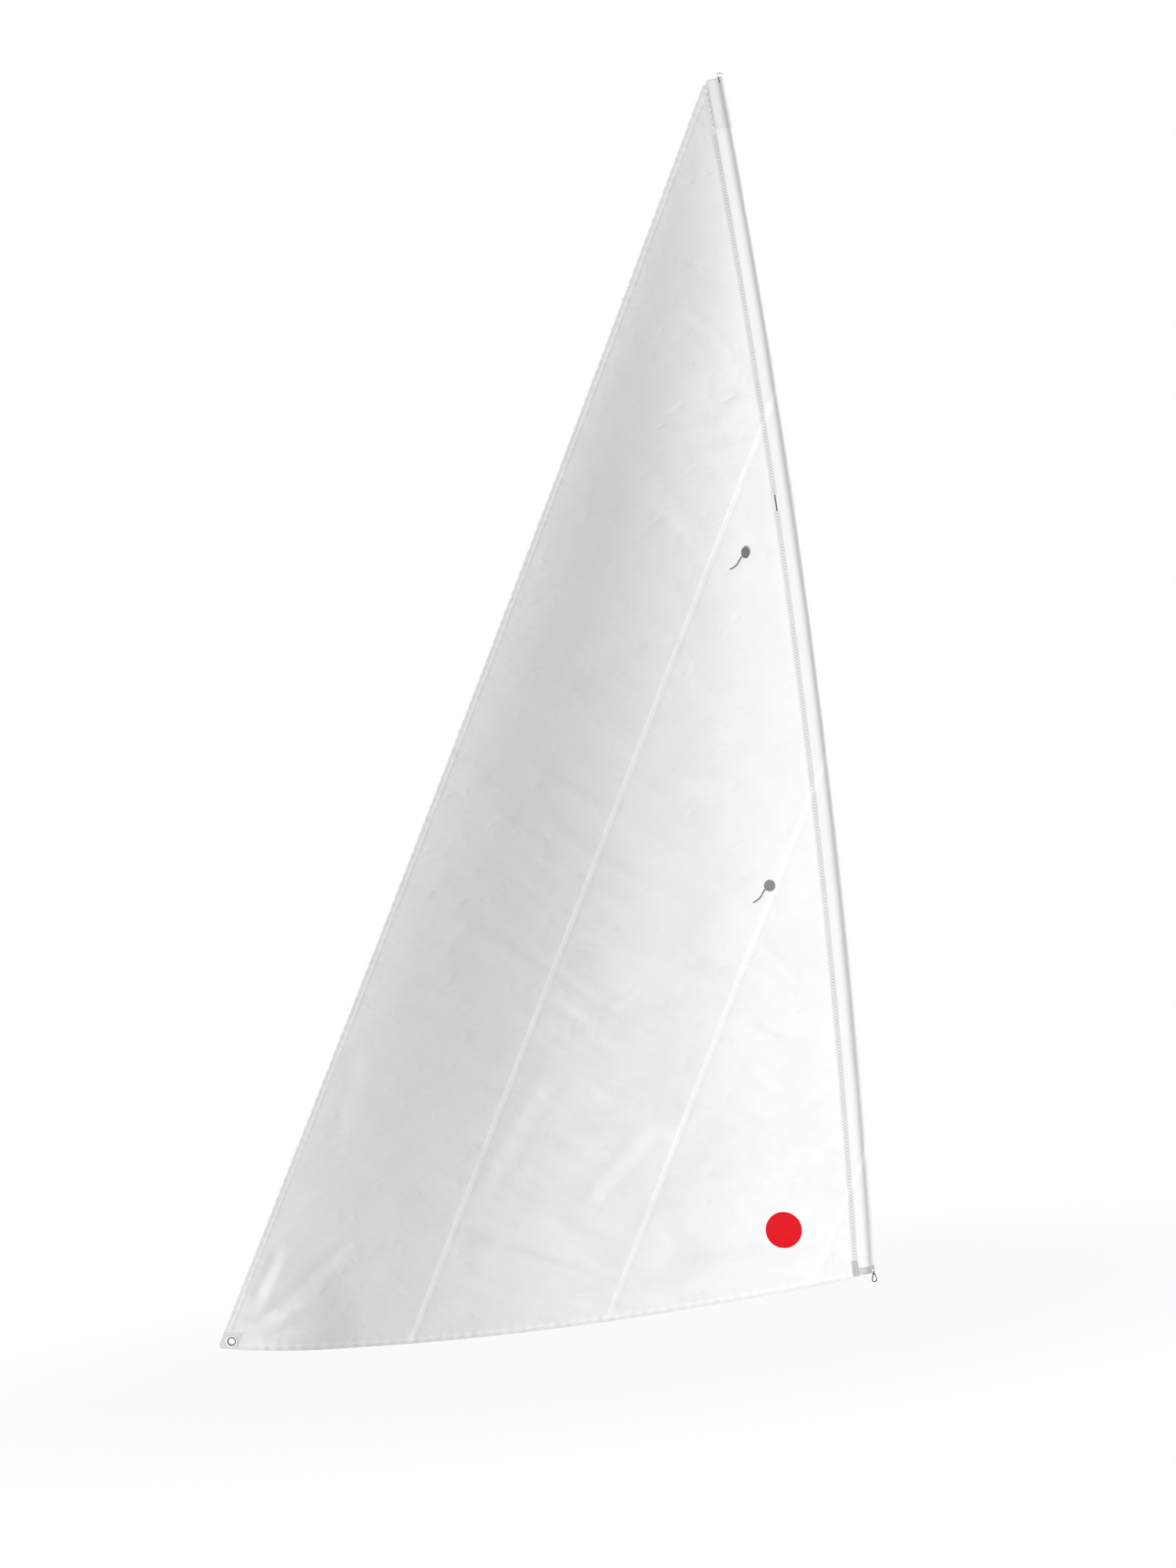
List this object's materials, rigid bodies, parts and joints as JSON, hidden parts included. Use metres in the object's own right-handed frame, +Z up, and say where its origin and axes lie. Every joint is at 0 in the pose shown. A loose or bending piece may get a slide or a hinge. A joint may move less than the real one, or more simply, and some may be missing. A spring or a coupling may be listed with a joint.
{
  "type": "dinghy sail",
  "caption": "Triangular fabric sail for a small dinghy, with a full-length mast sleeve, clew eyelet, tack hook and telltales.",
  "frame": {"origin": "centre of the mouth of the mast sleeve, at the tack", "axes": "+Z up the mast to the head, -X aft to the clew, +Y out of the side that the sail bellies toward"},
  "size_m": [2.4658, 0.225, 4.4771],
  "materials": {
    "sailcloth": "white woven polyester sailcloth, slightly shiny, finely crumpled",
    "cap_cloth": "doubled white sailcloth, matt",
    "patch_cloth": "white sailcloth, matt",
    "tape_cloth": "white edge tape with zigzag stitching",
    "corner_cloth": "grey-white webbing cloth",
    "webbing": "grey woven webbing",
    "black_cord": "black braided cord",
    "dark_thread": "dense dark stitching",
    "eyelet_metal": "darkened nickel-plated brass, satin",
    "hook_plastic": "black moulded plastic",
    "rivet_steel": "stainless",
    "telltale_film": "dark adhesive ripstop, matt",
    "yarn": "dark wool yarn",
    "red_film": "plain red adhesive film"
  },
  "bodies": {
    "sail": {"leech_panel": "sailcloth", "second_panel": "sailcloth", "third_panel": "sailcloth", "tack_panel": "sailcloth", "mast_sleeve_lower": "sailcloth", "mast_sleeve_upper": "sailcloth", "sleeve_head_cap": "cap_cloth", "head_loop": "webbing", "head_bar_tack": "dark_thread", "head_patch": "patch_cloth", "leech_tape": "tape_cloth", "foot_tape": "tape_cloth", "clew_patch_large": "patch_cloth", "clew_patch_small": "patch_cloth", "clew_corner_front": "corner_cloth", "clew_corner_back": "corner_cloth", "clew_eyelet": "eyelet_metal", "clew_eyelet_ring": "eyelet_metal", "tack_patch": "patch_cloth", "tack_reinforcement": "webbing", "tack_strap": "webbing", "tack_lashing": "black_cord", "telltale_upper_front_disc": "telltale_film", "telltale_upper_back_disc": "telltale_film", "telltale_lower_front_disc": "telltale_film", "telltale_lower_back_disc": "telltale_film", "class_disc": "red_film"},
    "tack_hook": {"hook_body": "hook_plastic", "hook_rivet": "rivet_steel"},
    "tack_hook_gate": {"hook_gate": "hook_plastic"},
    "upper_front_yarn": {"telltale_upper_front_yarn": "yarn"},
    "upper_back_yarn": {"telltale_upper_back_yarn": "yarn"},
    "lower_front_yarn": {"telltale_lower_front_yarn": "yarn"},
    "lower_back_yarn": {"telltale_lower_back_yarn": "yarn"}
  },
  "joints": [
    {"name": "hook_swing", "type": "hinge", "parent": "sail", "child": "tack_hook", "pos_m": [0.015, -0.02505, -0.0312], "axis": [0, 1, 0], "range_deg": [-60, 60]},
    {"name": "gate_opening", "type": "hinge", "parent": "tack_hook", "child": "tack_hook_gate", "pos_m": [0.0196, -0.02505, -0.0368], "axis": [0, 1, 0], "range_deg": [0, 22], "stiffness_Nm_per_rad": 0.01},
    {"name": "upper_front_yarn_swing", "type": "hinge", "parent": "sail", "child": "upper_front_yarn", "pos_m": [-0.12679, 0.06612, 2.62116], "axis": [-0.2822, -0.9591, -0.0211], "range_deg": [-60, 60]},
    {"name": "upper_back_yarn_swing", "type": "hinge", "parent": "sail", "child": "upper_back_yarn", "pos_m": [-0.12679, 0.0724, 2.62116], "axis": [-0.2822, -0.9591, -0.0211], "range_deg": [-60, 60]},
    {"name": "lower_front_yarn_swing", "type": "hinge", "parent": "sail", "child": "lower_front_yarn", "pos_m": [-0.19569, 0.10203, 1.40183], "axis": [-0.335, -0.9422, 0.0027], "range_deg": [-60, 60]},
    {"name": "lower_back_yarn_swing", "type": "hinge", "parent": "sail", "child": "lower_back_yarn", "pos_m": [-0.19569, 0.10667, 1.40183], "axis": [-0.335, -0.9422, 0.0027], "range_deg": [-60, 60]}
  ]
}
